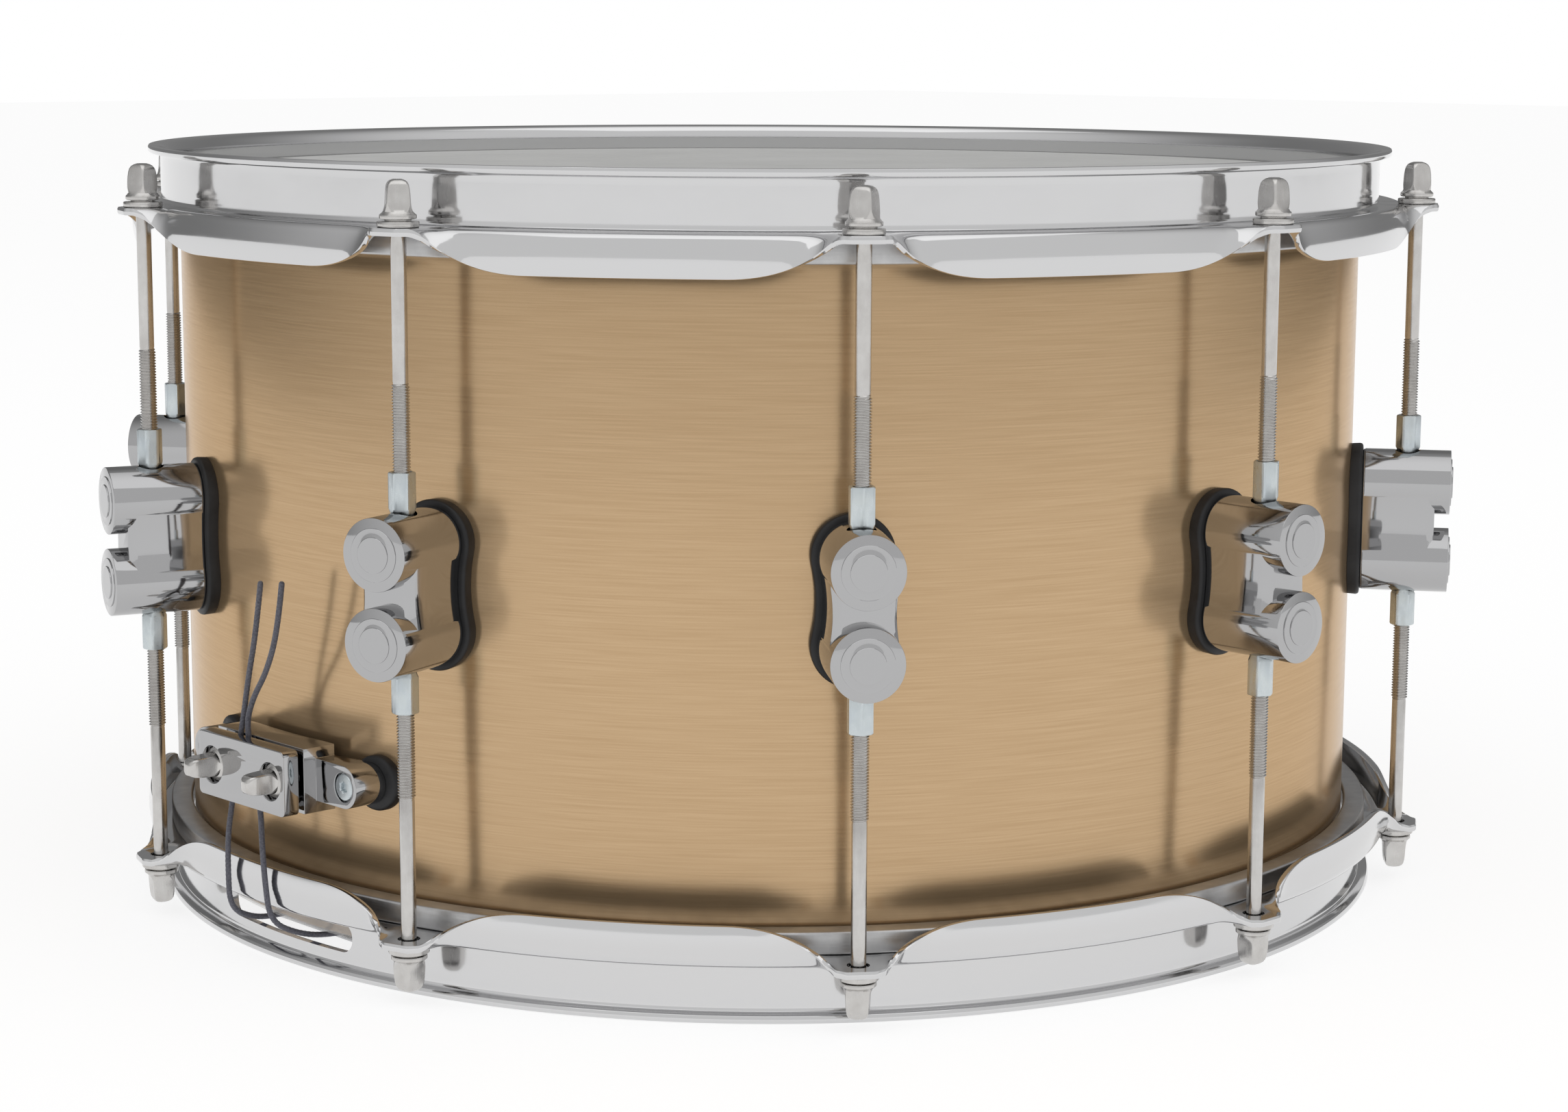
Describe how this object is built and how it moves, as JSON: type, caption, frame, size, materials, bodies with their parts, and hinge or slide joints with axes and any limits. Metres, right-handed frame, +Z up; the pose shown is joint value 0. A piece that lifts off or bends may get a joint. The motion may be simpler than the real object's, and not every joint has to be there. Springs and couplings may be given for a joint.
{
  "type": "snare drum",
  "caption": "Deep metal snare drum with triple-flange hoops, double-turret lugs, tension rods, lever strainer, butt plate and snare wires.",
  "frame": {"origin": "on the drum's axis, in the plane of the bottom hoop's rim, which the drum rests on", "axes": "+Z up towards the batter head, -X towards the butt plate, +X towards the strainer"},
  "size_m": [0.4146, 0.4154, 0.2204],
  "materials": {
    "bronze_shell": "brushed round the shell under clear lacquer",
    "hoop_chrome": "bright chrome plate on rolled steel",
    "chrome_plate": "bright chrome plate on die-cast zinc",
    "rod_steel": "nickel-plated steel",
    "zinc_plate": "satin zinc plate",
    "wire_steel": "bright spring wire",
    "aluminium_hoop": "matte rolled aluminium",
    "black_rubber": "satin black rubber",
    "coated_film": "sprayed white coating on polyester film",
    "clear_film": "hazy clear polyester film",
    "braided_cord": "braided grey-blue polyester"
  },
  "bodies": {
    "root": {"shell": "bronze_shell", "vent_grommet": "chrome_plate", "batter_head": "coated_film", "snare_side_head": "clear_film", "batter_flesh_hoop": "aluminium_hoop", "snare_flesh_hoop": "aluminium_hoop", "top_hoop": "hoop_chrome", "bottom_hoop": "hoop_chrome", "rubber_gaskets": "black_rubber", "lug_tube_nuts": "zinc_plate", "rod_washers": "zinc_plate", "lug_screws": "zinc_plate", "butt_base": "chrome_plate", "butt_clamp_plate": "chrome_plate", "butt_clamp_screws": "rod_steel", "bracket_screws": "zinc_plate", "strainer_base": "chrome_plate", "lever_pivots": "rod_steel", "snare_wires": "wire_steel", "snare_end_plates": "chrome_plate", "butt_cord_left": "braided_cord", "butt_cord_right": "braided_cord", "lug_01": "chrome_plate", "lug_02": "chrome_plate", "lug_03": "chrome_plate", "lug_04": "chrome_plate", "lug_05": "chrome_plate", "lug_06": "chrome_plate", "lug_07": "chrome_plate", "lug_08": "chrome_plate", "lug_09": "chrome_plate", "lug_10": "chrome_plate"},
    "batter_rod_01": {"batter_rod_01": "rod_steel"},
    "batter_rod_02": {"batter_rod_02": "rod_steel"},
    "batter_rod_03": {"batter_rod_03": "rod_steel"},
    "batter_rod_04": {"batter_rod_04": "rod_steel"},
    "batter_rod_05": {"batter_rod_05": "rod_steel"},
    "batter_rod_06": {"batter_rod_06": "rod_steel"},
    "batter_rod_07": {"batter_rod_07": "rod_steel"},
    "batter_rod_08": {"batter_rod_08": "rod_steel"},
    "batter_rod_09": {"batter_rod_09": "rod_steel"},
    "batter_rod_10": {"batter_rod_10": "rod_steel"},
    "snare_rod_01": {"snare_rod_01": "rod_steel"},
    "snare_rod_02": {"snare_rod_02": "rod_steel"},
    "snare_rod_03": {"snare_rod_03": "rod_steel"},
    "snare_rod_04": {"snare_rod_04": "rod_steel"},
    "snare_rod_05": {"snare_rod_05": "rod_steel"},
    "snare_rod_06": {"snare_rod_06": "rod_steel"},
    "snare_rod_07": {"snare_rod_07": "rod_steel"},
    "snare_rod_08": {"snare_rod_08": "rod_steel"},
    "snare_rod_09": {"snare_rod_09": "rod_steel"},
    "snare_rod_10": {"snare_rod_10": "rod_steel"},
    "lever": {"strainer_lever": "chrome_plate"},
    "carriage": {"strainer_carriage": "chrome_plate", "strainer_cord_left": "braided_cord", "strainer_cord_right": "braided_cord"},
    "clamp": {"strainer_clamp_block": "chrome_plate", "strainer_clamp_plate": "chrome_plate", "strainer_clamp_screws": "rod_steel"},
    "knob": {"tension_knob": "chrome_plate"}
  },
  "joints": [
    {"name": "batter_rod_01_turn", "type": "hinge", "parent": "root", "child": "batter_rod_01", "pos_m": [0.18469, -0.06001, 0.11], "axis": [0, 0, 1], "continuous": true},
    {"name": "batter_rod_02_turn", "type": "hinge", "parent": "root", "child": "batter_rod_02", "pos_m": [0.11415, -0.15711, 0.11], "axis": [0, 0, 1], "continuous": true},
    {"name": "batter_rod_03_turn", "type": "hinge", "parent": "root", "child": "batter_rod_03", "pos_m": [0, -0.1942, 0.11], "axis": [0, 0, 1], "continuous": true},
    {"name": "batter_rod_04_turn", "type": "hinge", "parent": "root", "child": "batter_rod_04", "pos_m": [-0.11415, -0.15711, 0.11], "axis": [0, 0, 1], "continuous": true},
    {"name": "batter_rod_05_turn", "type": "hinge", "parent": "root", "child": "batter_rod_05", "pos_m": [-0.18469, -0.06001, 0.11], "axis": [0, 0, 1], "continuous": true},
    {"name": "batter_rod_06_turn", "type": "hinge", "parent": "root", "child": "batter_rod_06", "pos_m": [-0.18469, 0.06001, 0.11], "axis": [0, 0, 1], "continuous": true},
    {"name": "batter_rod_07_turn", "type": "hinge", "parent": "root", "child": "batter_rod_07", "pos_m": [-0.11415, 0.15711, 0.11], "axis": [0, 0, 1], "continuous": true},
    {"name": "batter_rod_08_turn", "type": "hinge", "parent": "root", "child": "batter_rod_08", "pos_m": [0, 0.1942, 0.11], "axis": [0, 0, 1], "continuous": true},
    {"name": "batter_rod_09_turn", "type": "hinge", "parent": "root", "child": "batter_rod_09", "pos_m": [0.11415, 0.15711, 0.11], "axis": [0, 0, 1], "continuous": true},
    {"name": "batter_rod_10_turn", "type": "hinge", "parent": "root", "child": "batter_rod_10", "pos_m": [0.18469, 0.06001, 0.11], "axis": [0, 0, 1], "continuous": true},
    {"name": "snare_rod_01_turn", "type": "hinge", "parent": "root", "child": "snare_rod_01", "pos_m": [0.18469, 0.06001, 0.11], "axis": [0, 0, 1], "continuous": true},
    {"name": "snare_rod_02_turn", "type": "hinge", "parent": "root", "child": "snare_rod_02", "pos_m": [0.11415, 0.15711, 0.11], "axis": [0, 0, 1], "continuous": true},
    {"name": "snare_rod_03_turn", "type": "hinge", "parent": "root", "child": "snare_rod_03", "pos_m": [0, 0.1942, 0.11], "axis": [0, 0, 1], "continuous": true},
    {"name": "snare_rod_04_turn", "type": "hinge", "parent": "root", "child": "snare_rod_04", "pos_m": [-0.11415, 0.15711, 0.11], "axis": [0, 0, 1], "continuous": true},
    {"name": "snare_rod_05_turn", "type": "hinge", "parent": "root", "child": "snare_rod_05", "pos_m": [-0.18469, 0.06001, 0.11], "axis": [0, 0, 1], "continuous": true},
    {"name": "snare_rod_06_turn", "type": "hinge", "parent": "root", "child": "snare_rod_06", "pos_m": [-0.18469, -0.06001, 0.11], "axis": [0, 0, 1], "continuous": true},
    {"name": "snare_rod_07_turn", "type": "hinge", "parent": "root", "child": "snare_rod_07", "pos_m": [-0.11415, -0.15711, 0.11], "axis": [0, 0, 1], "continuous": true},
    {"name": "snare_rod_08_turn", "type": "hinge", "parent": "root", "child": "snare_rod_08", "pos_m": [0, -0.1942, 0.11], "axis": [0, 0, 1], "continuous": true},
    {"name": "snare_rod_09_turn", "type": "hinge", "parent": "root", "child": "snare_rod_09", "pos_m": [0.11415, -0.15711, 0.11], "axis": [0, 0, 1], "continuous": true},
    {"name": "snare_rod_10_turn", "type": "hinge", "parent": "root", "child": "snare_rod_10", "pos_m": [0.18469, -0.06001, 0.11], "axis": [0, 0, 1], "continuous": true},
    {"name": "lever_throw", "type": "hinge", "parent": "root", "child": "lever", "pos_m": [0.197, 0, 0.092], "axis": [0, 1, 0], "range_deg": [0, 90]},
    {"name": "carriage_drop", "type": "slide", "parent": "root", "child": "carriage", "axis": [0, 0, -1], "range_m": [0, 0.007], "deforming": ["strainer_cord_left", "strainer_cord_right"]},
    {"name": "knob_turn", "type": "hinge", "parent": "carriage", "child": "knob", "pos_m": [0.1906, 0, 0.04], "axis": [0, 0, 1], "range_deg": [-1080, 1080]},
    {"name": "clamp_raise", "type": "slide", "parent": "carriage", "child": "clamp", "axis": [0, 0, 1], "range_m": [-0.003, 0.003]}
  ],
  "couplings": [
    {"joint": "carriage_drop", "follows": "lever_throw", "m_per_rad": 0.0044563},
    {"joint": "knob_turn", "follows": "clamp_raise", "rad_per_m": 6283.2}
  ]
}
